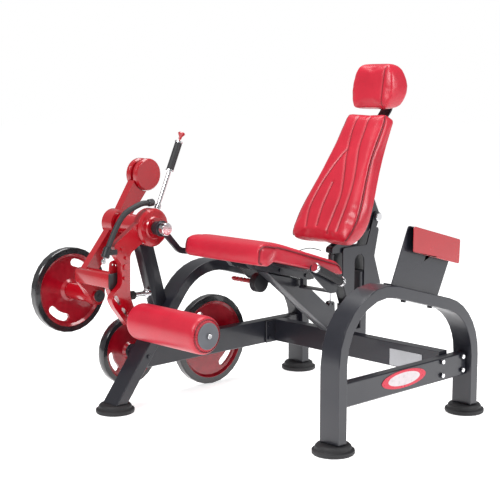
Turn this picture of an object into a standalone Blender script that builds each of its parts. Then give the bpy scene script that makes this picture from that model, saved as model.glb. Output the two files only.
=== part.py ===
"""Plate-loaded leg extension machine, modelled as separate sub-parts in metres, +Z up.

Layout frame: +X is the sitting user's left, +Y is behind the user, and the front left foot stands at
x = 0, y = 0. The empty "machine_origin" carries the whole layout so that the centre of the footprint
of the finished machine lies at the world origin.
"""
import math

import bmesh
import bpy
from mathutils import Matrix, Vector

# ---- driving dimensions (metres, degrees) ----
GAP = 0.0003                      # clearance kept where two pieces touch
CENTRE = (-0.6710, 0.33695)        # middle of the footprint in the layout frame

TUBE_WIDTH = 0.090                # frame tube, across the machine
TUBE_DEPTH = 0.045                # frame tube, in the plane of an arch
TUBE_EDGE = 0.005
BEND_RADIUS = 0.236               # middle of the tube
LEFT_X = 0.0
RIGHT_X = -0.965
ARCH_CROWN = (0.293, 0.550)       # a point on the middle of both arches' sloping tops
ARCH_SLOPE = math.radians(-15)
LEFT_LEGS_Y = (-0.005, 0.780)
RIGHT_REAR_Y = 0.828
RIGHT_FRONT_FOOT_Y = -0.235
RIGHT_FRONT_LEAN = math.radians(52.5)

FOOT_RADIUS = 0.078
FOOT_HEIGHT = 0.036

BEAM_LOW = 0.160
BEAM_HIGH = 0.262
CROSS_BEAM_Y = (0.640, 0.690)
COLUMN_Y = (0.812, 0.857)
STRUT_TOP = (0.458, 0.489)        # a point of the seat strut's upper face
STRUT_LEAN = math.radians(38)

PIVOT = (-0.070, 0.735)           # y, z of the lever axis, which runs along X
AXLE_RADIUS = 0.020
BARREL_RADIUS = 0.043
BARREL_X = (-1.108, -0.962)
LEG_HUB_X = (-0.955, -0.898)
LEG_HUB_RADIUS = 0.077
WEIGHT_ARM_X = -1.146
WEIGHT_HUB_X = (-1.178, -1.114)

COUNTER_AXIS = (0.070, 0.928)     # y, z of the counterweight
CROSS_TUBE_AXIS = (-0.237, 0.533)
CROSS_TUBE_X = (-1.190, -0.958)
HANDLE_ANGLE = math.radians(66)   # from +Y towards +Z
HOSE_ROUTE = ((-0.088, 0.833), (-0.125, 0.831), (-0.200, 0.800), (-0.240, 0.755), (-0.272, 0.700),
              (-0.286, 0.673))    # y, z
PIN_TIP = (-0.318, 0.600)
POST_X = (-1.010, -0.965)
POST_DEPTH = 0.067
POST_HEAD = (-0.088, 0.620)       # y, z of two points on the post's front face
POST_FRONT = (-0.039, 0.450)
BUMPER_X = -0.978
BUMPER_END = -0.150

ROLLER_AXIS = (-0.186, 0.380)     # y, z
ROLLER_X = (-0.868, -0.462)
ROLLER_RADIUS = 0.076

SEAT_X = -0.605
SEAT_HALF_WIDTH = 0.215
SEAT_SLOPE = math.radians(-14)

SEAT_UNDERSIDE = (0.073, 0.640)   # a point of the sloping underside of the seat pad
SEAT_REAR_Y = 0.506
SEAT_RAIL_DEPTH = 0.038
GRIP_FRONT = (0.279, 0.599)       # y, z of the ends of the two hand grips
GRIP_REAR = (0.443, 0.521)
GRIP_X = 0.245                    # from the middle of the seat

TILT_AXIS = (0.912, 0.729)        # y, z of the backrest hinge, which runs along X
GAS_FOOT = (0.645, 0.375)         # y, z of the gas spring's lower pin
GAS_HEAD = (0.645, 0.606)         # y, z of the gas spring's upper pin
BACK_HALF_WIDTHS = (0.171, 0.112) # backrest pad, bottom and top

HORN_AXIS = (-0.170, 0.440)       # y, z of the plate horn on the weight lever
FRONT_PEG_AXIS = (-0.043, 0.198)
REAR_PEG_AXIS = (0.345, 0.200)
PLATES = {                        # radius, middle x, axis (y, z), angle of the first grip slot
    "weight_plate_1": (0.181, -1.358, HORN_AXIS, 59),
    "weight_plate_2": (0.145, -1.120, FRONT_PEG_AXIS, 205),
    "weight_plate_3": (0.197, -1.040, REAR_PEG_AXIS, 320),
}

RED = (0.60, 0.004, 0.020)
DARK_RED = (0.22, 0.004, 0.012)
VINYL = (0.62, 0.030, 0.050)
ANTHRACITE = (0.030, 0.032, 0.048)
BLACK = (0.012, 0.012, 0.014)
STEEL = (0.62, 0.62, 0.64)
GREY = (0.10, 0.11, 0.13)


# ---- scene, materials and collections ----
for old in list(bpy.data.objects):
    bpy.data.objects.remove(old, do_unlink=True)

PARTS = bpy.data.collections.new("leg_extension_machine")
bpy.context.scene.collection.children.link(PARTS)

ORIGIN = bpy.data.objects.new("machine_origin", None)
ORIGIN.location = (-CENTRE[0], -CENTRE[1], 0.0)
PARTS.objects.link(ORIGIN)
bpy.context.view_layer.update()


def material(name, colour, roughness, metallic=0.0):
    made = bpy.data.materials.new(name)
    made.use_nodes = True
    shader = made.node_tree.nodes["Principled BSDF"]
    shader.inputs["Base Color"].default_value = (*colour, 1.0)
    shader.inputs["Roughness"].default_value = roughness
    shader.inputs["Metallic"].default_value = metallic
    return made


def frame_paint(name):
    return material(name, ANTHRACITE, 0.38, 0.25)


def red_paint(name):
    return material(name, RED, 0.18, 0.1)


def dark_red_paint(name):
    return material(name, DARK_RED, 0.22, 0.1)


def vinyl(name):
    return material(name, VINYL, 0.45)


def rubber(name):
    return material(name, BLACK, 0.70)


def black_plastic(name):
    return material(name, BLACK, 0.40)


def chrome(name):
    return material(name, STEEL, 0.12, 1.0)


def grey_plastic(name):
    return material(name, GREY, 0.45)


# ---- shape helpers: each returns a mesh object whose data lies in the layout frame ----
def new_object(name, mesh):
    made = bpy.data.objects.new(name, mesh)
    PARTS.objects.link(made)
    return made


def mesh_from(name, bm):
    mesh = bpy.data.meshes.new(name)
    bm.to_mesh(mesh)
    bm.free()
    return mesh


def evaluated_copy(source, name):
    """The source as a plain welded mesh object; the source is removed."""
    bpy.context.view_layer.update()
    graph = bpy.context.evaluated_depsgraph_get()
    mesh = bpy.data.meshes.new_from_object(source.evaluated_get(graph), depsgraph=graph)
    matrix = source.matrix_world.copy()
    bpy.data.objects.remove(source, do_unlink=True)
    bm = bmesh.new()
    bm.from_mesh(mesh)
    bmesh.ops.remove_doubles(bm, verts=bm.verts, dist=0.00002)
    bm.transform(matrix)
    bmesh.ops.recalc_face_normals(bm, faces=bm.faces)
    if bm.calc_volume(signed=True) < 0:
        bmesh.ops.reverse_faces(bm, faces=bm.faces)
    bm.to_mesh(mesh)
    bm.free()
    mesh.name = name
    return new_object(name, mesh)


def bevel(item, width, segments=1, angle=35):
    modifier = item.modifiers.new("edges", "BEVEL")
    modifier.width = width
    modifier.segments = segments
    modifier.limit_method = "ANGLE"
    modifier.angle_limit = math.radians(angle)
    return item


def box(name, low, high):
    bm = bmesh.new()
    bmesh.ops.create_cube(bm, size=1.0)
    size = [b - a for a, b in zip(low, high)]
    middle = [(a + b) / 2 for a, b in zip(low, high)]
    bmesh.ops.scale(bm, vec=size, verts=bm.verts)
    bmesh.ops.translate(bm, vec=middle, verts=bm.verts)
    return new_object(name, mesh_from(name, bm))


def rod(name, start, end, radius, segments=24, end_radius=None):
    """A cylinder or cone between two points."""
    start, end = Vector(start), Vector(end)
    length = (end - start).length
    bm = bmesh.new()
    bmesh.ops.create_cone(
        bm, cap_ends=True, segments=segments, radius1=radius,
        radius2=radius if end_radius is None else end_radius, depth=length)
    turn = Vector((0, 0, 1)).rotation_difference(end - start).to_matrix().to_4x4()
    bm.transform(Matrix.Translation((start + end) / 2) @ turn)
    return new_object(name, mesh_from(name, bm))


def x_rod(name, axis, x_low, x_high, radius, segments=24):
    """A cylinder along X whose axis passes through the (y, z) point."""
    return rod(name, (x_low, *axis), (x_high, *axis), radius, segments)


def screwed(name, profile, matrix, steps, closed=False):
    """A (radius, height) profile, top to bottom, turned about Z and then moved by the matrix."""
    bm = bmesh.new()
    points = [bm.verts.new((radius, 0.0, height)) for radius, height in profile]
    for first, second in zip(points, points[1:]):
        bm.edges.new((first, second))
    if closed:
        bm.edges.new((points[-1], points[0]))
    source = new_object(name + "_profile", mesh_from(name, bm))
    screw = source.modifiers.new("turn", "SCREW")
    screw.steps = steps
    screw.render_steps = steps
    screw.use_merge_vertices = True
    screw.merge_threshold = 0.00002
    source.matrix_world = matrix
    return evaluated_copy(source, name)


def turned(name, profile, axis, x_start, steps=32, closed=False):
    """A profile of (radius, distance along -X) turned about an X axis through the (y, z) point."""
    matrix = Matrix.Translation((x_start, *axis)) @ Matrix.Rotation(math.pi / 2, 4, "Y")
    return screwed(name, [(radius, -along) for radius, along in profile], matrix, steps, closed)


def ring(name, axis, x_low, x_high, inner, outer, steps=32):
    length = x_high - x_low
    profile = [(outer, 0.0), (outer, length), (inner, length), (inner, 0.0)]
    return turned(name, profile, axis, x_high, steps, closed=True)


def slab(name, outlines, x_low, x_high):
    """Closed (y, z) outlines, the first outside and the rest holes, given a thickness along X."""
    curve = bpy.data.curves.new(name, "CURVE")
    curve.dimensions = "2D"
    curve.fill_mode = "BOTH"
    curve.extrude = (x_high - x_low) / 2
    for outline in outlines:
        spline = curve.splines.new("POLY")
        spline.points.add(len(outline) - 1)
        for point, (y, z) in zip(spline.points, outline):
            point.co = (y, z, 0.0, 1.0)
        spline.use_cyclic_u = True
    source = new_object(name + "_outline", curve)
    source.rotation_euler = (math.pi / 2, 0.0, math.pi / 2)
    source.location = ((x_low + x_high) / 2, 0.0, 0.0)
    return evaluated_copy(source, name)


def bent_rod(name, points, radius, sides=2):
    """A round bar along a smooth line of points."""
    curve = bpy.data.curves.new(name, "CURVE")
    curve.dimensions = "3D"
    curve.bevel_depth = radius
    curve.bevel_resolution = sides
    curve.use_fill_caps = True
    spline = curve.splines.new("POLY")
    spline.points.add(len(points) - 1)
    for point, place in zip(spline.points, points):
        point.co = (*place, 1.0)
    return evaluated_copy(new_object(name + "_path", curve), name)


def smooth_line(points, steps):
    """Points along a Catmull-Rom curve through the given points."""
    padded = [points[0], *points, points[-1]]
    line = []
    for index in range(len(points) - 1):
        a, b, c, d = (Vector(p) for p in padded[index:index + 4])
        for step in range(steps):
            t = step / steps
            line.append(0.5 * (2 * b + (c - a) * t + (2 * a - 5 * b + 4 * c - d) * t ** 2
                               + (3 * b - a - 3 * c + d) * t ** 3))
    line.append(Vector(points[-1]))
    return line


def fillet_path(corners, radii, steps=8):
    """(point, tangent) pairs along straight runs joined by arcs of the given radii."""
    corners = [Vector(c) for c in corners]
    path = [(corners[0], (corners[1] - corners[0]).normalized())]
    for before, corner, after, radius in zip(corners, corners[1:], corners[2:], radii):
        into = (corner - before).normalized()
        out = (after - corner).normalized()
        turn = math.atan2(into.x * out.y - into.y * out.x, into.dot(out))
        setback = radius * math.tan(abs(turn) / 2)
        start = corner - into * setback
        side = Vector((-into.y, into.x)) * math.copysign(1.0, turn)
        middle = start + side * radius
        for step in range(steps + 1):
            rotation = Matrix.Rotation(turn * step / steps, 2)
            path.append((middle - rotation @ side * radius, rotation @ into))
    path.append((corners[-1], (corners[-1] - corners[-2]).normalized()))
    return path


def band(corners, radii, width, steps=8, end_width=None):
    """Outline of a flat bar of the given width along a filleted path; it may taper."""
    path = fillet_path(corners, radii, steps)
    end_width = width if end_width is None else end_width
    left, right = [], []
    for index, (point, tangent) in enumerate(path):
        half = (width + (end_width - width) * index / (len(path) - 1)) / 2
        normal = Vector((-tangent.y, tangent.x))
        left.append(tuple(point + normal * half))
        right.append(tuple(point - normal * half))
    return left + right[::-1]


def rounded(corners, radius, steps=4):
    """Closed outline with every corner rounded; radius is one number or one for each corner."""
    count = len(corners)
    radii = [radius] * count if isinstance(radius, (int, float)) else radius
    outline = []
    for index in range(count):
        trio = [corners[index - 1], corners[index], corners[(index + 1) % count]]
        arc = fillet_path(trio, [radii[index]], steps)[1:-1]
        outline.extend(tuple(point) for point, _ in arc)
    return outline


def circle(centre, radius, count=24):
    return [(centre[0] + radius * math.cos(math.tau * i / count),
             centre[1] + radius * math.sin(math.tau * i / count)) for i in range(count)]


def obround(start, end, radius, steps=6):
    """Outline of a slot with round ends between two (y, z) points."""
    start, end = Vector(start), Vector(end)
    heading = math.atan2(end.y - start.y, end.x - start.x)
    outline = []
    for centre, first in ((end, heading - math.pi / 2), (start, heading + math.pi / 2)):
        for step in range(steps + 1):
            angle = first + math.pi * step / steps
            outline.append((centre.x + radius * math.cos(angle), centre.y + radius * math.sin(angle)))
    return outline


def combined(name, items, operation="UNION"):
    """Boolean of the first item with the others, as one welded solid."""
    base = items[0]
    for other in items[1:]:
        modifier = base.modifiers.new("join", "BOOLEAN")
        modifier.operation = operation
        modifier.solver = "EXACT"
        modifier.object = other
    bpy.context.view_layer.update()
    graph = bpy.context.evaluated_depsgraph_get()
    mesh = bpy.data.meshes.new_from_object(base.evaluated_get(graph), depsgraph=graph)
    for item in items:
        bpy.data.objects.remove(item, do_unlink=True)
    bm = bmesh.new()
    bm.from_mesh(mesh)
    bmesh.ops.remove_doubles(bm, verts=bm.verts, dist=0.00002)
    bmesh.ops.dissolve_degenerate(bm, edges=bm.edges, dist=0.00001)
    bm.to_mesh(mesh)
    bm.free()
    return new_object(name, mesh)


def part(item, look, origin=(0.0, 0.0, 0.0)):
    """Give the piece its own material and its origin, and hang it on the machine's origin."""
    origin = Vector(origin)
    item.data.transform(Matrix.Translation(-origin))
    item.location = origin
    item.parent = ORIGIN
    item.data.materials.clear()
    item.data.materials.append(look(item.name + "_finish"))
    item.data.shade_smooth()
    item.data.set_sharp_from_angle(angle=math.radians(32))
    return item


def on_top_line(y):
    """Height of the middle of the arches' sloping tops at y."""
    return ARCH_CROWN[1] + (y - ARCH_CROWN[0]) * math.tan(ARCH_SLOPE)


def under_seat(y, depth=0.0):
    """Height at y of the line that lies a depth below the seat pad's underside."""
    drop = (depth + GAP) / math.cos(SEAT_SLOPE)
    return SEAT_UNDERSIDE[1] + (y - SEAT_UNDERSIDE[0]) * math.tan(SEAT_SLOPE) - drop


def on_strut(y):
    """Height of the seat strut's upper face at y."""
    return STRUT_TOP[1] - (y - STRUT_TOP[0]) * math.tan(STRUT_LEAN)


def line_meet(point, direction, other, other_direction):
    """Where two lines in the (y, z) plane cross."""
    point, direction = Vector(point), Vector(direction)
    other, other_direction = Vector(other), Vector(other_direction)
    cross = direction.x * other_direction.y - direction.y * other_direction.x
    between = other - point
    reach = (between.x * other_direction.y - between.y * other_direction.x) / cross
    return point + direction * reach


def polar(centre, radius, degrees):
    """A (y, z) point at an angle from +Y towards +Z."""
    angle = math.radians(degrees)
    return (centre[0] + radius * math.cos(angle), centre[1] + radius * math.sin(angle))


# ---- frame ----
def arch(name, x, corners, heads, flat_foot=False):
    outline = band(corners, [BEND_RADIUS] * (len(corners) - 2), TUBE_DEPTH, steps=7)
    if flat_foot:
        half = TUBE_DEPTH / 2 / math.sin(RIGHT_FRONT_LEAN)
        outline[0] = (corners[0][0] - half, corners[0][1])
        outline[-1] = (corners[0][0] + half, corners[0][1])
    item = bevel(slab("tube", [outline], x - TUBE_WIDTH / 2, x + TUBE_WIDTH / 2), TUBE_EDGE, 1)
    part(combined(name, [item, *heads]), frame_paint)


def front_leg_y(z):
    """Middle of the slanting front right leg at height z."""
    return RIGHT_FRONT_FOOT_Y + (z - FOOT_HEIGHT) / math.tan(RIGHT_FRONT_LEAN)


def build_arches():
    foot = FOOT_HEIGHT + GAP
    front, rear = LEFT_LEGS_Y
    normal = Vector((0.0, -math.sin(ARCH_SLOPE), math.cos(ARCH_SLOPE)))
    heads = []
    for y in (0.384, 0.545):
        middle = Vector((LEFT_X, y, on_top_line(y)))
        heads.append(rod("head", middle, middle - normal * (TUBE_DEPTH / 2 + 0.008), 0.010, 12))
    arch("left_arch", LEFT_X, [
        (front, foot), (front, on_top_line(front)), (rear, on_top_line(rear)), (rear, foot)], heads)
    knee = line_meet(
        (front_leg_y(foot), foot), (math.cos(RIGHT_FRONT_LEAN), math.sin(RIGHT_FRONT_LEAN)),
        ARCH_CROWN, (math.cos(ARCH_SLOPE), math.sin(ARCH_SLOPE)))
    head = x_rod("head", (-0.095, 0.211), RIGHT_X, RIGHT_X + 0.052, 0.009, 12)
    arch("right_arch", RIGHT_X, [
        (front_leg_y(foot), foot), tuple(knee), (RIGHT_REAR_Y, on_top_line(RIGHT_REAR_Y)),
        (RIGHT_REAR_Y, foot)], [head], flat_foot=True)


def build_feet():
    profile = [(0.0, FOOT_HEIGHT), (0.060, FOOT_HEIGHT), (0.066, 0.030), (0.067, 0.020),
               (FOOT_RADIUS, 0.016), (FOOT_RADIUS, 0.004), (0.074, 0.0), (0.0, 0.0)]
    places = {"foot_front_left": (LEFT_X, LEFT_LEGS_Y[0]),
              "foot_rear_left": (LEFT_X, LEFT_LEGS_Y[1]),
              "foot_front_right": (RIGHT_X, RIGHT_FRONT_FOOT_Y),
              "foot_rear_right": (RIGHT_X, RIGHT_REAR_Y)}
    for name, (x, y) in places.items():
        part(screwed(name, profile, Matrix.Translation((x, y, 0.0)), 20), rubber)


def build_beams():
    front, rear = LEFT_LEGS_Y
    half = TUBE_DEPTH / 2
    left = box("tube", (LEFT_X - 0.020, front + half + GAP, BEAM_LOW),
               (LEFT_X + 0.020, rear - half - 4 * GAP, BEAM_HIGH - 0.012))
    heads = [x_rod("head", (y, z), LEFT_X, LEFT_X + 0.027, 0.0105, 12)
             for y in (0.597, 0.727) for z in (0.183, 0.237)]
    part(combined("left_beam", [bevel(left, 0.004, 1), *heads]), frame_paint)

    behind_leg = half / math.sin(RIGHT_FRONT_LEAN) + 2 * GAP
    before_leg = RIGHT_REAR_Y - half - GAP
    outline = [(front_leg_y(BEAM_LOW) + behind_leg, BEAM_LOW), (before_leg, BEAM_LOW), (before_leg, 0.224),
               (before_leg - 0.004, BEAM_HIGH), (front_leg_y(BEAM_HIGH) + behind_leg, BEAM_HIGH)]
    spine = slab("spine_beam", [outline], RIGHT_X - 0.025, RIGHT_X + 0.025)
    part(bevel(spine, 0.004, 1), frame_paint)

    right_face = RIGHT_X + 0.025 + GAP
    left_face = LEFT_X - 0.020 - GAP
    low, high = CROSS_BEAM_Y
    flange_low, flange_high = low - 0.055, high + 0.055
    beam = box("beam", (right_face + 0.004, low, BEAM_LOW + 0.004), (left_face - 0.004, high, BEAM_HIGH))
    right_flange = box("right_flange", (right_face, flange_low, BEAM_LOW + 0.001),
                       (right_face + 0.008, flange_high, BEAM_HIGH - 0.003))
    left_flange = box("left_flange", (left_face - 0.008, flange_low, BEAM_LOW + 0.001),
                      (left_face, flange_high, BEAM_HIGH - 0.015))
    stub = box("stub", (SEAT_X - 0.030, high - 0.002, BEAM_LOW + 0.012),
               (SEAT_X + 0.030, COLUMN_Y[0] - GAP, BEAM_HIGH - 0.010))
    heads = [x_rod("head", (y, z), right_face + 0.004, right_face + 0.015, 0.0105, 12)
             for y in (0.603, 0.727) for z in (0.183, 0.243)]
    pieces = [bevel(piece, 0.002, 1) for piece in (beam, right_flange, left_flange, stub)]
    part(combined("cross_beam", pieces + heads), frame_paint)


def build_strut():
    heading = math.pi - STRUT_LEAN
    depth = 0.085
    along = Vector((math.cos(heading), math.sin(heading)))
    across = Vector((-along.y, along.x))
    upper = Vector(STRUT_TOP)
    seat_point = (0.3, under_seat(0.3, SEAT_RAIL_DEPTH))
    seat_line = (math.cos(SEAT_SLOPE), math.sin(SEAT_SLOPE))
    outline = []
    for start, line in ((upper, 0), (upper, 1), (upper + across * depth, 1), (upper + across * depth, 0)):
        target, slope = ((0.0, BEAM_HIGH + GAP), (1.0, 0.0)) if line == 0 else (seat_point, seat_line)
        outline.append(tuple(line_meet(start, along, target, slope)))
    pieces = [bevel(slab("tube", [outline], SEAT_X - 0.030, SEAT_X + 0.030), TUBE_EDGE, 1)]
    y, z = GAS_FOOT
    cheek = rounded([(y - 0.030, on_strut(y - 0.030) - 0.006), (y - 0.012, z + 0.012),
                     (y + 0.012, z + 0.012),
                     (y + 0.016, on_strut(y + 0.016) - 0.006)], [0.001, 0.010, 0.010, 0.001], 3)
    for side in (-1, 1):
        ends = sorted((SEAT_X + side * 0.0080, SEAT_X + side * 0.0130))
        pieces.append(slab("cheek", [cheek], *ends))
    pieces.append(x_rod("pin", GAS_FOOT, SEAT_X - 0.016, SEAT_X + 0.016, 0.0040, 16))
    part(combined("seat_strut", pieces), frame_paint)


def build_column():
    low, high = COLUMN_Y
    column = box("backrest_column", (SEAT_X - 0.0225, low, BEAM_LOW + 0.012),
                 (SEAT_X + 0.0225, high, 0.500))
    part(bevel(column, 0.004, 1), frame_paint)
    y, z = TILT_AXIS
    outline = [polar(TILT_AXIS, 0.024, angle) for angle in range(140, 0, -20)]
    outline += rounded([(y + 0.020, z - 0.020), (0.896, 0.558), (0.938, 0.440), (0.938, 0.392),
                        (0.862, 0.335), (0.740, 0.335), (0.692, 0.460), (0.690, 0.612),
                        (0.842, 0.612)], [0.01, 0.02, 0.02, 0.02, 0.01, 0.02, 0.02, 0.012, 0.012], 2)
    slot = obround((0.797, 0.545), (0.797, 0.400), 0.032)
    plates = []
    for side in (-1, 1):
        inner = SEAT_X + side * (0.0225 + GAP)
        outer = inner + side * 0.006
        plates.append(slab("plate", [outline, slot, circle(TILT_AXIS, 0.0085, 16)],
                           min(inner, outer), max(inner, outer)))
    spacer = box("spacer", (SEAT_X - 0.025, 0.715, 0.345), (SEAT_X + 0.025, 0.775, 0.365))
    part(combined("column_plates", [*plates, spacer]), frame_paint)
    reach = 0.0225 + GAP + 0.006 + GAP
    heads = [x_rod("head", TILT_AXIS, SEAT_X + reach, SEAT_X + reach + 0.012, 0.019, 20),
             x_rod("pin", TILT_AXIS, SEAT_X - reach - 0.008, SEAT_X + reach + 0.006, 0.0080, 16),
             x_rod("nut", TILT_AXIS, SEAT_X - reach - 0.012, SEAT_X - reach, 0.019, 20)]
    bevel(heads[0], 0.003, 1, 50)
    part(combined("tilt_pin", heads), chrome)


def build_pivot_post():
    """The leaning post that carries the lever bearing, its barrel, and the fixed axle with its collar."""
    lean = (Vector(POST_HEAD) - Vector(POST_FRONT)).normalized()
    side = Vector((lean.y, -lean.x))
    leg = Vector((math.cos(RIGHT_FRONT_LEAN), math.sin(RIGHT_FRONT_LEAN)))
    leg_face = Vector((front_leg_y(0.3), 0.3)) + Vector((-leg.y, leg.x)) * (TUBE_DEPTH / 2 + GAP)
    across = Vector((1.0, 0.0))
    shoulder = Vector((PIVOT[0], PIVOT[1] - BARREL_RADIUS - 0.001))
    outline = []
    for start, line in ((Vector(POST_FRONT), 0), (Vector(POST_FRONT) + side * POST_DEPTH, 0),
                        (Vector(POST_FRONT) + side * POST_DEPTH, 1), (Vector(POST_FRONT), 1)):
        target, slope = (leg_face, leg) if line == 0 else (shoulder, across)
        outline.append(tuple(line_meet(start, lean, target, slope)))
    item = slab("pivot_post", [outline], POST_X[0], POST_X[1])
    part(bevel(item, 0.004, 2), frame_paint)
    barrel = ring("bearing_barrel", PIVOT, BARREL_X[0], BARREL_X[1], AXLE_RADIUS + GAP, BARREL_RADIUS, 24)
    part(bevel(barrel, 0.003, 1, 50), red_paint)
    shaft = x_rod("shaft", PIVOT, -1.196, -0.840, AXLE_RADIUS, 24)
    head = x_rod("head", PIVOT, -0.8555, -0.826, 0.0255, 24)
    part(combined("axle", [bevel(shaft, 0.002, 1, 50), bevel(head, 0.002, 1, 50)]), chrome)
    part(ring("axle_collar", PIVOT, -0.8955, -0.8685, AXLE_RADIUS + GAP, 0.027, 24), black_plastic)


# ---- seat ----
def build_seat():
    """The pad, the steel frame under it and the brace to the lever axle."""
    outline = rounded(
        [(0.000, 0.622), (0.004, 0.709), (0.120, 0.702), (0.478, 0.588),
         (SEAT_REAR_Y, under_seat(SEAT_REAR_Y, -2 * GAP)), (0.090, under_seat(0.090, -2 * GAP)), (0.062,
                                                                                                  0.622)],
        [0.022, 0.038, 0.080, 0.025, 0.015, 0.020, 0.015], 4)
    pad = slab("seat_pad", [outline], SEAT_X - SEAT_HALF_WIDTH, SEAT_X + SEAT_HALF_WIDTH)
    part(bevel(pad, 0.012, 2), vinyl)

    front, rear = 0.095, 0.470
    plate = [(front, under_seat(front)), (rear, under_seat(rear)),
             (rear, under_seat(rear, 0.010)), (front, under_seat(front, 0.010))]
    nose, tail = front + 0.003, rear - 0.003
    rail = [(nose, under_seat(nose, 0.006)), (tail, under_seat(tail, 0.006)),
            (tail, under_seat(tail, 0.030)),
            (tail - 0.030, under_seat(tail - 0.030, SEAT_RAIL_DEPTH)),
            (nose + 0.020, under_seat(nose + 0.020, SEAT_RAIL_DEPTH)), (nose, under_seat(nose, 0.020))]
    pieces = [slab("tray", [plate], SEAT_X - 0.110, SEAT_X + 0.110)]
    for side in (-1, 1):
        middle = SEAT_X + side * 0.055
        pieces.append(slab("rail", [rail], middle - 0.012, middle + 0.012))
        for y in (front + 0.035, 0.270, rear - 0.050):
            ends = sorted((middle, SEAT_X + side * 0.073))
            pieces.append(x_rod("head", (y, under_seat(y, 0.022)), *ends, 0.008, 6))
        pieces += grip_bracket(side)
    part(combined("seat_frame", pieces), frame_paint)

    eye = ring("eye", PIVOT, -0.868, -0.856, AXLE_RADIUS + GAP, 0.032, 24)
    tail_y = front + 0.020
    tail = (tail_y, under_seat(tail_y, 0.005))
    strip = band([(PIVOT[0] + 0.018, PIVOT[1] - 0.019), (0.020, 0.640), tail], [0.05], 0.024, 4)
    arm = slab("strip", [strip], -0.868, -0.856)
    foot = box("foot", (-0.868, tail_y - 0.012, tail[1] - 0.0150),
               (SEAT_X - 0.075, tail_y + 0.012, tail[1] - 0.0095))
    part(combined("axle_brace", [eye, arm, foot]), frame_paint)


def grip_line():
    """Front end, direction and the direction square to it, downwards, of both hand grips in (y, z)."""
    front = Vector(GRIP_FRONT)
    along = (Vector(GRIP_REAR) - front).normalized()
    return front, along, Vector((along.y, -along.x))


def grip_bracket(side):
    """The plate beside one hand grip, and the bar from it to the seat rail."""
    front, along, below = grip_line()
    rear = Vector(GRIP_REAR)
    outline = rounded([tuple(front + along * 0.002 - below * 0.010),
                       tuple(front + along * 0.004 + below * 0.020),
                       (0.372, 0.492), (0.440, 0.470), tuple(rear + below * 0.022),
                       tuple(rear - below * 0.010 - along * 0.002)],
                      [0.008, 0.015, 0.02, 0.015, 0.01, 0.008], 2)
    inner = SEAT_X + side * (GRIP_X - 0.0195 - GAP)
    cheek = slab("cheek", [outline], *sorted((inner, inner - side * 0.006)))
    ends = sorted((SEAT_X + side * 0.044, inner - side * 0.003))
    bar = box("bar", (ends[0], 0.404, 0.478), (ends[1], 0.434, 0.486))
    ends = sorted((SEAT_X + side * 0.046, SEAT_X + side * 0.064))
    hanger = box("hanger", (ends[0], 0.408, 0.480), (ends[1], 0.430, under_seat(0.430, 0.030)))
    return [cheek, bar, hanger]


def build_grips():
    front, along, _ = grip_line()
    length = (Vector(GRIP_REAR) - front).length
    turn = math.atan2(along.y, along.x) - math.pi / 2
    for side, name in ((1, "left"), (-1, "right")):
        aim = Matrix.Translation((SEAT_X + side * GRIP_X, *front)) @ Matrix.Rotation(turn, 4, "X")
        core = [(0.0, length), (0.0175, length), (0.0195, length - 0.002), (0.0195, length - 0.013),
                (0.0080, length - 0.013), (0.0080, 0.013), (0.0195, 0.013), (0.0195, 0.002), (0.0175, 0.0),
                (0.0, 0.0)]
        part(screwed("grip_core_" + name, core, aim, 16), chrome)
        sleeve = [(0.0165, length - 0.0133), (0.0165, 0.0133), (0.0083, 0.0133), (0.0083, length - 0.0133)]
        part(screwed("grip_" + name, sleeve, aim, 16, closed=True), rubber)


def build_release():
    axis = (0.300, 0.497)
    inner = SEAT_X - 0.067 - GAP
    drum = x_rod("drum", axis, inner - 0.034, inner, 0.040, 24)
    lug = box("lug", (inner - 0.007, axis[0] - 0.015, axis[1]), (inner, axis[0] + 0.015, axis[1] + 0.066))
    part(bevel(combined("release_housing", [drum, lug]), 0.002), black_plastic)
    hinge = Vector((inner - 0.034 - GAP, *axis))
    grooves = 6
    length = 0.140
    start = 0.018
    profile = [(0.0, hinge.x), (0.0025, hinge.x - 0.0002), (0.0055, hinge.x - 0.0013),
               (0.0055, hinge.x - start)]
    for index in range(grooves):
        at = hinge.x - start - index * (length - start) / grooves
        step = (length - start) / grooves
        profile += [(0.0105, at - step * 0.15), (0.0105, at - step * 0.60), (0.0080, at - step * 0.75),
                    (0.0080, at - step)]
    profile += [(0.0, hinge.x - length)]
    lever = screwed("release_lever", profile,
                    Matrix.Translation((0.0, *axis)) @ Matrix.Rotation(math.pi / 2, 4, "Y"), 8)
    part(lever, dark_red_paint, hinge)


# ---- backrest ----
def taper_width(item, low, high, widths):
    """Scale the piece about the seat's middle so that its half width runs from one value to another."""
    for vertex in item.data.vertices:
        share = (vertex.co.z - low) / (high - low)
        half = widths[0] + (widths[1] - widths[0]) * share
        vertex.co.x = SEAT_X + (vertex.co.x - SEAT_X) * half / widths[0]


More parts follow.
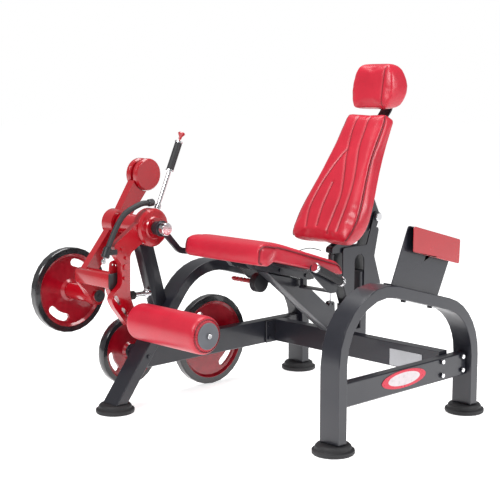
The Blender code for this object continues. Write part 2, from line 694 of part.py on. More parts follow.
def build_backrest():
    hinge = (SEAT_X, *TILT_AXIS)
    outline = rounded([(0.545, 0.655), (0.866, 1.188), (0.930, 1.152), (0.668, 0.672), (0.615, 0.628)],
                      [0.025, 0.018, 0.018, 0.040, 0.030], 4)
    half = BACK_HALF_WIDTHS[0]
    pad = slab("backrest_pad", [outline], SEAT_X - half, SEAT_X + half)
    taper_width(pad, 0.64, 1.18, BACK_HALF_WIDTHS)
    part(bevel(pad, 0.014, 2), vinyl, hinge)

    outline = rounded([(0.874, 1.1915), (0.905, 1.395), (0.985, 1.388), (1.014, 1.285), (0.975, 1.1975)],
                      [0.012, 0.020, 0.045, 0.050, 0.030], 4)
    head = slab("headrest_pad", [outline], SEAT_X - 0.117, SEAT_X + 0.117)
    front_view = rounded([(SEAT_X - 0.096, 1.18), (SEAT_X - 0.117, 1.41), (SEAT_X + 0.117, 1.41),
                          (SEAT_X + 0.096, 1.18)], [0.045, 0.095, 0.095, 0.045], 5)
    mask = slab("mask", [front_view], -1.1, -0.8)
    mask.data.transform(Matrix.Rotation(-math.pi / 2, 4, "Z"))
    head = combined("headrest_pad", [head, mask], "INTERSECT")
    part(bevel(head, 0.014, 2, 50), vinyl, hinge)

    slope = Vector((0.930 - 0.668, 1.152 - 0.672)).normalized()
    behind = Vector((slope.y, -slope.x))
    base = Vector((0.668, 0.672)) + behind * GAP
    spine = [tuple(base + slope * 0.045), tuple(base + slope * 0.500),
             tuple(base + slope * 0.500 + behind * 0.008), tuple(base + slope * 0.045 + behind * 0.008)]
    pieces = [slab("spine", [spine], SEAT_X - 0.035, SEAT_X + 0.035)]
    lug = rounded([tuple(base + slope * 0.320 + behind * 0.004),
                   tuple(Vector(TILT_AXIS) + Vector((0.026, 0.012))),
                   tuple(Vector(TILT_AXIS) + Vector((0.014, -0.026))),
                   (0.700, 0.592), tuple(Vector(GAS_HEAD) + Vector((-0.016, -0.014))),
                   tuple(Vector(GAS_HEAD) + Vector((-0.010, 0.011))), (0.688, 0.640), (0.712, 0.668),
                   tuple(base + slope * 0.060 + behind * 0.004)],
                  [0.006, 0.018, 0.018, 0.020, 0.012, 0.010, 0.008, 0.01, 0.006], 3)
    bore = circle(TILT_AXIS, 0.0085, 16)
    for side in (-1, 1):
        inner, outer = SEAT_X + side * 0.0120, SEAT_X + side * 0.0190
        pieces.append(slab("lug", [lug, bore], min(inner, outer), max(inner, outer)))
    pieces.append(x_rod("gas_pin", GAS_HEAD, SEAT_X - 0.015, SEAT_X + 0.015, 0.004, 12))
    strap = band([tuple(base + slope * 0.470 + behind * 0.004), (0.998, 1.190), (1.022, 1.290)], [0.03],
                 0.006, 3)
    pieces.append(slab("strap", [strap], SEAT_X - 0.030, SEAT_X + 0.030))
    part(combined("backrest_frame", pieces), frame_paint, hinge)


def build_gas_spring():
    foot, head = Vector((SEAT_X, *GAS_FOOT)), Vector((SEAT_X, *GAS_HEAD))
    piston = rod("piston", (SEAT_X, GAS_FOOT[0], GAS_FOOT[1]),
                 (SEAT_X, GAS_FOOT[0], GAS_FOOT[1] + 0.130), 0.0045, 16)
    eye = ring("eye", GAS_FOOT, SEAT_X - 0.007, SEAT_X + 0.007, 0.0045, 0.011, 20)
    cut = x_rod("bore", GAS_FOOT, SEAT_X - 0.02, SEAT_X + 0.02, 0.0046, 20)
    piston = combined("piston", [piston, cut], "DIFFERENCE")
    part(combined("gas_spring_rod", [eye, piston]), chrome, foot)

    bottom, top = GAS_HEAD[1] - 0.135, GAS_HEAD[1] - 0.020
    bore, outer = 0.0049, 0.0120
    profile = [(outer, top - GAS_HEAD[1]), (outer, bottom - GAS_HEAD[1]), (bore, bottom - GAS_HEAD[1]),
               (bore, top - 0.012 - GAS_HEAD[1]), (0.0, top - 0.012 - GAS_HEAD[1])]
    profile = [(0.0, top - GAS_HEAD[1])] + profile
    tube = screwed("tube", profile, Matrix.Translation(head), 20)
    head_eye = ring("head_eye", GAS_HEAD, SEAT_X - 0.009, SEAT_X + 0.009, 0.0090, 0.0150, 20)
    neck = box("neck", (SEAT_X - 0.007, GAS_HEAD[0] - 0.006, top - 0.003),
               (SEAT_X + 0.007, GAS_HEAD[0] + 0.006, GAS_HEAD[1] - 0.0095))
    part(combined("gas_spring_cylinder", [tube, neck, head_eye]), black_plastic, head)

    route = [(SEAT_X - 0.060, 0.478, 0.598), (SEAT_X - 0.055, 0.512, 0.612), (SEAT_X - 0.040, 0.560, 0.618),
             (SEAT_X - 0.020, 0.605, 0.606)]
    part(bent_rod("release_cable", smooth_line(route, 4), 0.002, 1), rubber)


# ---- levers ----
def build_leg_lever():
    hinge = (LEG_HUB_X[0], *PIVOT)
    low, high = LEG_HUB_X
    depth = high - low
    bore = AXLE_RADIUS + GAP
    profile = [(bore, 0.0), (0.042, 0.0), (0.046, 0.006), (LEG_HUB_RADIUS - 0.008, 0.008),
               (LEG_HUB_RADIUS, 0.016), (LEG_HUB_RADIUS, depth - 0.004), (LEG_HUB_RADIUS - 0.004, depth),
               (bore, depth)]
    hub = turned("hub", profile, PIVOT, high, 28, closed=True)
    outline = rounded(
        [(-0.110, 0.780), (-0.262, 0.680), (-0.254, 0.636), (-0.226, 0.600), (-0.226, 0.520),
         (-0.286, 0.474),
         (-0.262, 0.430), (-0.196, 0.346), (-0.152, 0.358), (-0.158, 0.400), (-0.186, 0.470),
         (-0.184, 0.640), (-0.100, 0.690)],
        [0.004, 0.016, 0.020, 0.030, 0.030, 0.024, 0.030, 0.024, 0.024, 0.030, 0.040, 0.030, 0.004], 3)
    slots = [obround((-0.258, 0.474), (-0.240, 0.448), 0.008, 4),
             obround((-0.224, 0.424), (-0.208, 0.402), 0.007, 4)]
    arm = slab("arm", [outline, *slots], low + 0.006, low + 0.036)
    boss = x_rod("boss", (-0.206, 0.590), low + 0.030, low + 0.042, 0.014, 16)
    face = low + 0.036
    heads = [x_rod("head", place, low + 0.020, face + 0.008, 0.008, 6)
             for place in ((-0.224, 0.660), (-0.206, 0.625), (-0.214, 0.545))]
    part(combined("leg_arm", [hub, arm, boss, *heads]), red_paint, hinge)

    face += GAP
    shaft = x_rod("shaft", ROLLER_AXIS, face, ROLLER_X[1] - 0.010, 0.012, 20)
    flange = x_rod("flange", ROLLER_AXIS, face, face + 0.012, 0.024, 20)
    part(combined("roller_shaft", [shaft, flange]), chrome, hinge)


def build_handle():
    hinge = (LEG_HUB_X[0], *PIVOT)
    x = (LEG_HUB_X[0] + LEG_HUB_X[1]) / 2
    angle = HANDLE_ANGLE
    along = Vector((0.0, math.cos(angle), math.sin(angle)))
    aim = Matrix.Translation((x, *PIVOT)) @ Matrix.Rotation(angle - math.pi / 2, 4, "X")
    foot = LEG_HUB_RADIUS + 0.0015
    stem = [(0.0, 0.345), (0.0045, 0.345), (0.0045, 0.369), (0.0170, 0.369), (0.0170, 0.3613),
            (0.0085, 0.3613), (0.0085, 0.2457), (0.0170, 0.2457), (0.0170, 0.2380), (0.0085, 0.2380),
            (0.0085, 0.098), (0.0140, 0.094), (0.0140, foot), (0.0, foot)]
    part(screwed("handle_rod", stem, aim, 16), chrome, hinge)
    grip = [(0.0150, 0.3610), (0.0150, 0.2460), (0.0088, 0.2460), (0.0088, 0.3610)]
    part(screwed("handle_grip", grip, aim, 16, closed=True), rubber, hinge)
    knob = [(0.0, 0.409), (0.012, 0.407), (0.0155, 0.402), (0.0130, 0.397), (0.0065, 0.388),
            (0.0065, 0.379), (0.0040, 0.379), (0.0040, 0.355), (0.0, 0.355)]
    place = Vector((x, *PIVOT)) + along * 0.379
    part(screwed("release_button", knob, aim, 12), red_paint, place)

    route = [Vector((x, y, z)) for y, z in HOSE_ROUTE]
    part(bent_rod("release_hose", smooth_line(route, 3), 0.0115, 3), rubber, hinge)
    back = (route[0] - route[1]).normalized()
    clamp = rod("hose_clamp", route[0] + back * 0.002, route[0] + back * 0.031, 0.0150, 16)
    part(bevel(clamp, 0.004, 1, 50), black_plastic, hinge)

    top, tip = Vector(HOSE_ROUTE[-1]), Vector(PIN_TIP)
    aim = (tip - top).normalized()
    head = top + aim * 0.0006
    tail = head + aim * 0.040
    body = rod("body", (x, *head), (x, *tail), 0.0155, 16)
    hollow = rod("hollow", (x, *(head + aim * 0.012)), (x, *(tail + aim * 0.01)), 0.0067, 16)
    body = combined("body", [body, hollow], "DIFFERENCE")
    ribs = [body]
    for step in (0.006, 0.018, 0.030):
        ribs.append(rod_ring(x, head + aim * step, head + aim * (step + 0.005), 0.0140, 0.0175))
    middle = head + aim * 0.020
    tab_x = LEG_HUB_X[0] + 0.036 + GAP
    ribs.append(box("tab", (tab_x, middle.x, middle.y - 0.010), (tab_x + 0.004, -0.250, middle.y + 0.010)))
    part(combined("index_housing", ribs), black_plastic, hinge)
    pin = rod("pin", (x, *(tail - aim * 0.014)), (x, *(tail + aim * 0.026)), 0.0062, 16)
    collar = rod("collar", (x, *(tail + aim * 0.010)), (x, *(tail + aim * 0.022)), 0.0095, 16)
    part(combined("start_pin", [pin, collar]), chrome, (x, *tail))


def rod_ring(x, start, end, inner, outer):
    """A ring around an axis that lies in the (y, z) plane at x."""
    along = end - start
    aim = Matrix.Translation((x, *start)) @ Matrix.Rotation(math.atan2(along.y, along.x) - math.pi / 2,
                                                            4, "X")
    length = along.length
    return screwed("ring", [(outer, length), (outer, 0.0), (inner, 0.0), (inner, length)], aim, 16,
                   closed=True)


def build_roller():
    low, high = ROLLER_X
    hinge = (low, *ROLLER_AXIS)
    depth = high - low
    profile = [(0.0126, 0.0), (0.058, 0.0), (0.068, 0.003), (ROLLER_RADIUS, 0.012),
               (ROLLER_RADIUS, depth - 0.012), (0.068, depth - 0.003), (0.058, depth), (0.0126, depth)]
    part(turned("roller_pad", profile, ROLLER_AXIS, high, 28, closed=True), vinyl, hinge)
    cap = [(0.0, 0.0), (0.006, 0.001), (0.009, 0.004), (0.009, 0.0050), (0.049, 0.0050), (0.051, 0.007),
           (0.051, 0.0105 - GAP), (0.0, 0.0105 - GAP)]
    part(turned("roller_end_cap", cap, ROLLER_AXIS, high + 0.0105, 28), grey_plastic, hinge)


def build_weight_lever():
    hinge = (WEIGHT_ARM_X, *PIVOT)
    pivot, counter, cross = Vector(PIVOT), Vector(COUNTER_AXIS), Vector(CROSS_TUBE_AXIS)
    hub = ring("hub", PIVOT, WEIGHT_HUB_X[0], WEIGHT_HUB_X[1], AXLE_RADIUS + GAP, 0.058, 28)
    eye = AXLE_RADIUS + 0.012
    upward = (counter - pivot).normalized()
    upper = band([tuple(pivot + upward * eye), tuple(counter)], [], 0.062, end_width=0.086)
    upper = slab("upper", [upper], WEIGHT_ARM_X - 0.020, WEIGHT_ARM_X + 0.020)
    relief = x_rod("relief", COUNTER_AXIS, WEIGHT_ARM_X - 0.05, WEIGHT_ARM_X + 0.05, 0.0690, 28)
    upper = combined("upper", [upper, relief], "DIFFERENCE")
    tongue = [tuple(pivot + upward * 0.090), tuple(counter)]
    tongue = slab("tongue", [band(tongue, [], 0.058)], WEIGHT_ARM_X - 0.008, WEIGHT_ARM_X + 0.008)
    tongue_end = x_rod("tongue_end", COUNTER_AXIS, WEIGHT_ARM_X - 0.008, WEIGHT_ARM_X + 0.008, 0.050, 24)
    down = (cross - pivot).normalized()
    lower = band([tuple(pivot + down * eye), tuple(cross)], [], 0.056)
    lower = slab("lower", [lower], WEIGHT_ARM_X - 0.018, WEIGHT_ARM_X + 0.018)
    y, z = CROSS_TUBE_AXIS
    tube_low, tube_high = CROSS_TUBE_X
    tube = box("tube", (tube_low, y - 0.029, z - 0.032), (tube_high, y + 0.029, z + 0.032))
    bevel(tube, 0.016, 2)
    link = slab("link", [band([(y, z), HORN_AXIS], [], 0.060)], tube_low + 0.002, tube_low + 0.034)
    boss = ring("boss", HORN_AXIS, tube_low - 0.004, tube_low + 0.034, 0.0250 + GAP, 0.038, 24)
    drill = x_rod("drill", HORN_AXIS, tube_low - 0.02, tube_low + 0.05, 0.0300, 24)
    link = combined("link", [link, drill], "DIFFERENCE")
    stop = rounded([(y - 0.020, z - 0.020), (y - 0.006, z - 0.066), (BUMPER_END - 0.012, 0.436),
                    (BUMPER_END - 0.002, 0.440), (BUMPER_END - 0.002, 0.482), (y + 0.022, z - 0.022)],
                   [0.002, 0.020, 0.006, 0.003, 0.008, 0.002], 2)
    stop = slab("stop", [stop], BUMPER_X - 0.016, BUMPER_X + 0.013)
    sector = rounded([(y - 0.020, z + 0.010), (y - 0.012, z + 0.076), (y + 0.018, z + 0.082),
                      (y + 0.044, z + 0.050), (y + 0.024, z + 0.010)], [0.002, 0.012, 0.012, 0.012,
                                                                        0.002], 2)
    holes = [circle((y + dy, z + dz), 0.005, 10) for dy,
             dz in ((0.000, 0.064), (0.016, 0.060), (0.028, 0.046))]
    sector = slab("sector", [sector, *holes], tube_high - 0.012, tube_high - 0.004)
    part(combined("weight_arm", [hub, upper, tongue, tongue_end, lower, tube, link, boss, stop, sector]),
         red_paint, hinge)

    for side, name in ((-1, "counterweight_outer"), (1, "counterweight_inner")):
        ends = sorted((WEIGHT_ARM_X + side * (0.008 + GAP), WEIGHT_ARM_X + side * 0.036))
        disc = x_rod(name, COUNTER_AXIS, *ends, 0.0675, 28)
        part(bevel(disc, 0.006, 1, 50), red_paint, hinge)

    end = tube_high + GAP
    cap = box("cross_tube_cap", (end, y - 0.028, z - 0.031), (end + 0.006, y + 0.028, z + 0.031))
    part(bevel(cap, 0.0025, 2), black_plastic, hinge)

    near = tube_low + 0.042
    peg = x_rod("peg", HORN_AXIS, -1.420, near, 0.0250, 24)
    sleeve = x_rod("sleeve", HORN_AXIS, PLATES["weight_plate_1"][1] + 0.0185, tube_low - 0.004 - GAP,
                   0.034, 24)
    part(combined("weight_horn", [bevel(peg, 0.002, 1, 50), sleeve]), red_paint, hinge)
    cap = x_rod("cap", HORN_AXIS, near + GAP, near + 0.006, 0.0250, 24)
    bolt = x_rod("bolt", HORN_AXIS, near + 0.004, near + 0.012, 0.009, 12)
    part(combined("weight_horn_cap", [cap, bolt]), black_plastic, hinge)


def build_plates():
    """Dished plates with a raised rim, a hub and two curved grip slots."""
    for name, (radius, middle, axis, turn) in PLATES.items():
        web, half, bore = 0.007, 0.018, 0.0255
        profile = [(bore, -half), (0.20 * radius, -half), (0.26 * radius, -web), (0.80 * radius, -web),
                   (0.85 * radius, -half), (0.985 * radius, -half), (radius, 0.004 - half),
                   (radius, half - 0.004), (0.985 * radius, half), (0.85 * radius, half),
                   (0.80 * radius, web), (0.26 * radius, web), (0.20 * radius, half), (bore, half)]
        plate = turned(name, profile, axis, middle, 28, closed=True)
        cutters = []
        for start in (turn, turn + 180):
            inner, outer = 0.56 * radius, 0.74 * radius
            bend = [polar(axis, (inner + outer) / 2, start + step) for step in (-20, -10, 0, 10, 20)]
            width = (outer - inner) / 2
            sides = [polar(axis, outer, start + step) for step in (-20, -10, 0, 10, 20)]
            sides += [polar(bend[4], width, start + 20 + step) for step in (45, 90, 135)]
            sides += [polar(axis, inner, start + step) for step in (20, 10, 0, -10, -20)]
            sides += [polar(bend[0], width, start - 20 + step) for step in (225, 270, 315)]
            cutters.append(slab("slot", [sides], middle - 0.04, middle + 0.04))
        plate = combined(name, [plate, *cutters], "DIFFERENCE")
        part(plate, dark_red_paint, (middle, *axis))

    face = RIGHT_X - 0.025 - GAP
    for name, axis, reach in (("front_peg", FRONT_PEG_AXIS, -1.165), ("rear_peg", REAR_PEG_AXIS, -1.085)):
        near = max(middle for _, middle, place, _ in PLATES.values() if place == axis) + 0.0185
        bar = x_rod("bar", axis, reach, face, 0.0250, 20)
        stop = x_rod("stop", axis, near, min(face, near + 0.006), 0.0300, 20)
        part(combined(name, [bar, stop]), frame_paint)


# ---- fittings on the frame ----
def build_stop_bumper():
    z = 0.460
    front = POST_FRONT[0] + (z - POST_FRONT[1]) * (POST_HEAD[0] - POST_FRONT[0]) / (POST_HEAD[1] - POST_FRONT[1])
    start, end = front - 0.006, BUMPER_END
    body = [rod("stem", (BUMPER_X, start, z), (BUMPER_X, end + 0.030, z), 0.010, 20),
            rod("base", (BUMPER_X, start, z), (BUMPER_X, start - 0.012, z), 0.020, 20)]
    part(combined("bumper_stem", body), chrome)
    head = rod("bumper_head", (BUMPER_X, end + 0.030 - GAP, z), (BUMPER_X, end, z), 0.0180, 20)
    part(bevel(head, 0.003, 1, 50), rubber)


def build_sign():
    top_face = TUBE_DEPTH / 2 / math.cos(ARCH_SLOPE) + GAP
    flange = [(y, on_top_line(y) + top_face + lift) for y, lift in ((0.300, 0.0), (0.560, 0.0),
                                                                   (0.560, 0.004), (0.300, 0.004))]
    web = rounded([(0.290, on_top_line(0.290) + top_face + 0.001),
                   (0.570, on_top_line(0.570) + top_face + 0.001),
                   (0.676, 0.709), (0.385, 0.785)], [0.004, 0.004, 0.012, 0.012], 2)
    fold = [(0.394, 0.7778), (0.668, 0.7057), (0.668, 0.7095), (0.394, 0.7816)]
    lip = rounded([(0.391, 0.700), (0.671, 0.626), (0.671, 0.7080), (0.391, 0.7805)], 0.003, 1)
    pieces = [slab("web", [web], 0.0100, 0.0140), slab("flange", [flange], -0.032, 0.0125),
              slab("fold", [fold], 0.0120, 0.0330), slab("lip", [lip], 0.0310, 0.0340)]
    part(combined("sign_bracket", pieces), frame_paint)
    panel = rounded([(0.386, 0.688), (0.672, 0.614), (0.676, 0.709), (0.386, 0.785)], 0.008, 3)
    part(slab("sign_panel", [panel], 0.034 + GAP, 0.0365), red_paint)


def build_labels():
    badge = []
    for index in range(32):
        angle = math.tau * index / 32
        badge.append((0.365 + 0.130 * math.cos(angle), 0.211 + 0.034 * math.sin(angle)))
    part(slab("badge", [badge], LEFT_X + 0.020 + GAP, LEFT_X + 0.022), red_paint)
    label = box("instruction_plate", (-0.273, CROSS_BEAM_Y[0] - 0.0018, 0.168),
                (-0.109, CROSS_BEAM_Y[0] - GAP, 0.236))
    part(label, grey_plastic)


build_arches()
build_feet()
build_beams()
build_strut()
build_column()
build_pivot_post()
build_seat()
build_grips()
build_release()
build_backrest()
build_gas_spring()
build_leg_lever()
build_handle()
build_roller()
build_weight_lever()
build_plates()
build_stop_bumper()
build_sign()
build_labels()
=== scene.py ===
import math

import bmesh
import bpy
import numpy as np
from mathutils import Matrix, Vector
from mathutils.bvhtree import BVHTree


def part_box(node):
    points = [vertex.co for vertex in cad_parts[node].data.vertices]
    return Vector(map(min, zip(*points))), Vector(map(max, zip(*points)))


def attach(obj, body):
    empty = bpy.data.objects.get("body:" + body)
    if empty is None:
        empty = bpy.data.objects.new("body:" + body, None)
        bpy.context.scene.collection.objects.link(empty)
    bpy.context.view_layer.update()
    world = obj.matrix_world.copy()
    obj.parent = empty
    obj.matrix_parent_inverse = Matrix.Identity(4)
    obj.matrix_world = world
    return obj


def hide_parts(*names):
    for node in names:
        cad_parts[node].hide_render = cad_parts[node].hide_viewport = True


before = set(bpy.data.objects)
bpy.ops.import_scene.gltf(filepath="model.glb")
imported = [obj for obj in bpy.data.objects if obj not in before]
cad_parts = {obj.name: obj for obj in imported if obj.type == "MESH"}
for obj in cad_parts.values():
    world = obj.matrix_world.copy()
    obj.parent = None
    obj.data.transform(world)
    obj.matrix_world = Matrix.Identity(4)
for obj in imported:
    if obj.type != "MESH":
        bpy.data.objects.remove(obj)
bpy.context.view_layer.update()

CENTRE_X = 0.671        # shift from the layout, whose origin is at the front left foot, to the row frame
REAR = 0.33695
SEAT_X = 0.066          # middle of the seat and the backrest
VOXEL = 0.0055
SIM_FRAMES = 20
EDGE_WIDTH = 0.0012
BOW = 0.006             # how far the piping starts outside the cushion, before it settles on it
RIM_START = 0.855       # the plates' black rim, as a share of the radius
RIM_BLUR = 0.0006
BADGE_BORDER = 0.715    # the badge's red border, as a share of its half size
BADGE_BLUR = 0.015
RED = (0.37, 0.001, 0.008)
VINYL_RED = (0.50, 0.008, 0.028)
ANTHRACITE = (0.011, 0.0118, 0.0185)


# ---------------------------------------------------------------- materials
def graph(name):
    material = bpy.data.materials.new(name)
    material.use_nodes = True
    tree = material.node_tree
    shader = next(node for node in tree.nodes if node.type == "BSDF_PRINCIPLED")
    return material, tree, shader


def add(tree, kind, **settings):
    node = tree.nodes.new(kind)
    for name, value in settings.items():
        setattr(node, name, value)
    return node


def noise(tree, coords, scale, detail=4.0, roughness=0.55):
    node = add(tree, "ShaderNodeTexNoise")
    node.inputs["Scale"].default_value = scale
    node.inputs["Detail"].default_value = detail
    node.inputs["Roughness"].default_value = roughness
    tree.links.new(coords, node.inputs["Vector"])
    return node.outputs["Fac"]


def spread(tree, value, low, high, out_low, out_high):
    node = add(tree, "ShaderNodeMapRange")
    for socket, number in (("From Min", low), ("From Max", high), ("To Min", out_low), ("To Max", out_high)):
        node.inputs[socket].default_value = number
    tree.links.new(value, node.inputs["Value"])
    return node.outputs["Result"]


def mixed(tree, factor, first, second):
    node = add(tree, "ShaderNodeMix", data_type="RGBA")
    for socket, colour in ((node.inputs[6], first), (node.inputs[7], second)):
        if isinstance(colour, tuple):
            socket.default_value = (*colour, 1.0)
        else:
            tree.links.new(colour, socket)
    tree.links.new(factor, node.inputs[0])
    return node.outputs[2]


def bumped(tree, shader, height, strength, distance):
    node = add(tree, "ShaderNodeBump")
    node.inputs["Strength"].default_value = strength
    node.inputs["Distance"].default_value = distance
    tree.links.new(height, node.inputs["Height"])
    previous = shader.inputs["Normal"].links
    if previous:
        tree.links.new(previous[0].from_socket, node.inputs["Normal"])
    tree.links.new(node.outputs["Normal"], shader.inputs["Normal"])


def surface(name, colour, roughness, metallic=0.0, coat=0.0, grain=900.0, depth=0.0002, strength=0.15,
            shade=0.85, wander=0.06):
    """A worn, slightly uneven finish: fine grain in the bump, soft patches in colour and gloss."""
    material, tree, shader = graph(name)
    coords = add(tree, "ShaderNodeTexCoord").outputs["Object"]
    patches = noise(tree, coords, 9.0, 5.0)
    fine = noise(tree, coords, grain, 3.0)
    dark = tuple(channel * shade for channel in colour)
    tree.links.new(mixed(tree, spread(tree, patches, 0.35, 0.65, 0.0, 1.0), dark, colour), shader.inputs["Base Color"])
    tree.links.new(spread(tree, patches, 0.3, 0.7, max(0.02, roughness - wander), roughness + wander),
                   shader.inputs["Roughness"])
    shader.inputs["Metallic"].default_value = metallic
    shader.inputs["Coat Weight"].default_value = coat
    shader.inputs["Coat Roughness"].default_value = 0.06
    bumped(tree, shader, fine, strength, depth)
    return material


def reach_from_middle(tree, coords, node, scale):
    """Each point's distance in (y, z) from the middle of a CAD node, times the scale on each axis."""
    low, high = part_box(node)
    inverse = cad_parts[node].matrix_world.inverted()
    shift = add(tree, "ShaderNodeVectorMath", operation="SUBTRACT")
    tree.links.new(coords, shift.inputs[0])
    shift.inputs[1].default_value = inverse @ ((Vector(low) + Vector(high)) / 2)
    scaled = add(tree, "ShaderNodeVectorMath", operation="MULTIPLY")
    tree.links.new(shift.outputs[0], scaled.inputs[0])
    scaled.inputs[1].default_value = (0.0, *scale)
    length = add(tree, "ShaderNodeVectorMath", operation="LENGTH")
    tree.links.new(scaled.outputs[0], length.inputs[0])
    return length.outputs["Value"]


def plate_paint(name, node):
    """Glossy red disc with a glossy black rim, centred on the node."""
    low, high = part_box(node)
    material, tree, shader = graph(name)
    coords = add(tree, "ShaderNodeTexCoord").outputs["Object"]
    out = reach_from_middle(tree, coords, node, (1.0, 1.0))
    wobble = noise(tree, coords, 40.0, 3.0)
    edge = (high[2] - low[2]) / 2 * RIM_START
    mask = spread(tree, out, edge - RIM_BLUR, edge + RIM_BLUR, 0.0, 1.0)
    patches = spread(tree, wobble, 0.35, 0.65, 0.0, 1.0)
    red = mixed(tree, patches, (0.27, 0.001, 0.009), (0.34, 0.002, 0.012))
    black = mixed(tree, patches, (0.010, 0.010, 0.012), (0.016, 0.016, 0.019))
    tree.links.new(mixed(tree, mask, red, black), shader.inputs["Base Color"])
    tree.links.new(spread(tree, wobble, 0.3, 0.7, 0.16, 0.26), shader.inputs["Roughness"])
    shader.inputs["Coat Weight"].default_value = 0.6
    shader.inputs["Coat Roughness"].default_value = 0.05
    bumped(tree, shader, noise(tree, coords, 420.0, 3.0), 0.10, 0.0002)
    return material


def badge_paint():
    """Plain pale oval with a red border; the lettering is left out."""
    low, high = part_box("badge")
    material, tree, shader = graph("badge")
    coords = add(tree, "ShaderNodeTexCoord").outputs["Object"]
    out = reach_from_middle(tree, coords, "badge", (2.0 / (high[1] - low[1]), 2.0 / (high[2] - low[2])))
    mask = spread(tree, out, BADGE_BORDER - BADGE_BLUR, BADGE_BORDER + BADGE_BLUR, 0.0, 1.0)
    grain = noise(tree, coords, 60.0)
    pale = mixed(tree, grain, (0.52, 0.44, 0.46), (0.66, 0.60, 0.62))
    red = mixed(tree, grain, (0.50, 0.004, 0.03), (0.60, 0.006, 0.04))
    tree.links.new(mixed(tree, mask, pale, red), shader.inputs["Base Color"])
    tree.links.new(spread(tree, grain, 0.3, 0.7, 0.25, 0.35), shader.inputs["Roughness"])
    bumped(tree, shader, noise(tree, coords, 700.0), 0.05, 0.0001)
    return material


def vinyl(name, colour, roughness=0.36):
    """Leather-like vinyl: two sizes of cell grain, soft creases, and painted shade along the sewn seams."""
    material, tree, shader = graph(name)
    coords = add(tree, "ShaderNodeTexCoord").outputs["Object"]
    seam_shade = add(tree, "ShaderNodeAttribute", attribute_name="seam_shade").outputs["Fac"]
    patches = spread(tree, noise(tree, coords, 7.0, 4.0), 0.35, 0.65, 0.0, 1.0)
    dark = tuple(channel * 0.86 for channel in colour)
    body = mixed(tree, patches, dark, colour)
    # the seam mark darkens the colour to about a fifth: painted shade in the pressed-in seams
    tree.links.new(mixed(tree, seam_shade, body, tuple(channel * 0.22 for channel in colour)), shader.inputs["Base Color"])
    tree.links.new(spread(tree, patches, 0.0, 1.0, roughness - 0.04, roughness + 0.05), shader.inputs["Roughness"])
    shader.inputs["Coat Weight"].default_value = 0.12
    shader.inputs["Coat Roughness"].default_value = 0.28
    cells = add(tree, "ShaderNodeTexVoronoi", feature="DISTANCE_TO_EDGE")
    cells.inputs["Scale"].default_value = 520.0
    tree.links.new(coords, cells.inputs["Vector"])
    bumped(tree, shader, spread(tree, cells.outputs["Distance"], 0.0, 0.25, 0.0, 1.0), 0.22, 0.0003)
    bumped(tree, shader, noise(tree, coords, 60.0, 4.0), 0.18, 0.0015)
    return material


def rubber(name, colour, roughness):
    """Matt rubber with pale dust specks and a fine pebbled surface."""
    material, tree, shader = graph(name)
    coords = add(tree, "ShaderNodeTexCoord").outputs["Object"]
    specks = spread(tree, noise(tree, coords, 1500.0, 2.0), 0.62, 0.72, 0.0, 0.35)
    tree.links.new(mixed(tree, specks, colour, (0.10, 0.10, 0.11)), shader.inputs["Base Color"])
    tree.links.new(spread(tree, noise(tree, coords, 12.0), 0.3, 0.7, roughness - 0.08, roughness + 0.06),
                   shader.inputs["Roughness"])
    bumped(tree, shader, noise(tree, coords, 1100.0, 3.0), 0.25, 0.0004)
    return material


LOOKS = {
    "frame_paint": surface("frame_paint", ANTHRACITE, 0.34, coat=0.25, grain=1300.0, strength=0.10, shade=0.92),
    "red_paint": surface("red_paint", RED, 0.24, coat=0.7, grain=700.0, strength=0.08, shade=0.93, wander=0.04),
    "black_rubber": rubber("black_rubber", (0.013, 0.013, 0.015), 0.62),
    "black_plastic": surface("black_plastic", (0.016, 0.016, 0.019), 0.36, grain=1800.0, strength=0.20),
    "chrome": surface("chrome", (0.74, 0.74, 0.76), 0.14, metallic=1.0, grain=260.0, depth=0.0001, strength=0.06,
                      shade=0.93, wander=0.05),
    "grey_plastic": surface("grey_plastic", (0.115, 0.12, 0.135), 0.42, grain=1500.0, strength=0.18),
    "red_vinyl": vinyl("red_vinyl", VINYL_RED),
}
GLOSS_GREY = surface("label_grey", (0.42, 0.43, 0.45), 0.38, grain=500.0, strength=0.08)
# piping cord along the seams in dark red: its darkness is painted shade of the seam crease
PIPING_SHADE = vinyl("piping_painted_shade", (0.16, 0.004, 0.012), 0.40)
SLOTS = {node: slot for slot, names in {
    "frame_paint": "left_arch right_arch left_beam spine_beam cross_beam seat_strut backrest_column column_plates "
                   "pivot_post axle_brace seat_frame backrest_frame front_peg rear_peg sign_bracket",
    "red_paint": "bearing_barrel weight_arm counterweight_inner counterweight_outer weight_horn leg_arm "
                 "release_button release_lever sign_panel",
    "black_rubber": "foot_front_left foot_rear_left foot_front_right foot_rear_right grip_left grip_right "
                    "handle_grip bumper_head release_hose release_cable",
    "black_plastic": "axle_collar release_housing gas_spring_cylinder cross_tube_cap weight_horn_cap hose_clamp "
                     "index_housing",
    "chrome": "tilt_pin axle grip_core_left grip_core_right gas_spring_rod roller_shaft handle_rod start_pin "
              "bumper_stem",
    "grey_plastic": "roller_end_cap",
}.items() for node in names.split()}


def smooth_group():
    """Every face smooth-shaded and the imported normals dropped, so that the Bevel sets them."""
    group = bpy.data.node_groups.new("smooth_faces", "GeometryNodeTree")
    group.interface.new_socket("Geometry", in_out="INPUT", socket_type="NodeSocketGeometry")
    group.interface.new_socket("Geometry", in_out="OUTPUT", socket_type="NodeSocketGeometry")
    first, last = group.nodes.new("NodeGroupInput"), group.nodes.new("NodeGroupOutput")
    remove = group.nodes.new("GeometryNodeRemoveAttribute")
    remove.inputs["Name"].default_value = "custom_normal"
    smooth = group.nodes.new("GeometryNodeSetShadeSmooth")
    edges = group.nodes.new("GeometryNodeSetShadeSmooth")
    edges.domain = "EDGE"
    for start, end in ((first.outputs[0], remove.inputs["Geometry"]), (remove.outputs[0], smooth.inputs["Geometry"]),
                       (smooth.outputs[0], edges.inputs["Geometry"]), (edges.outputs[0], last.inputs[0])):
        group.links.new(start, end)
    return group


SMOOTH = smooth_group()


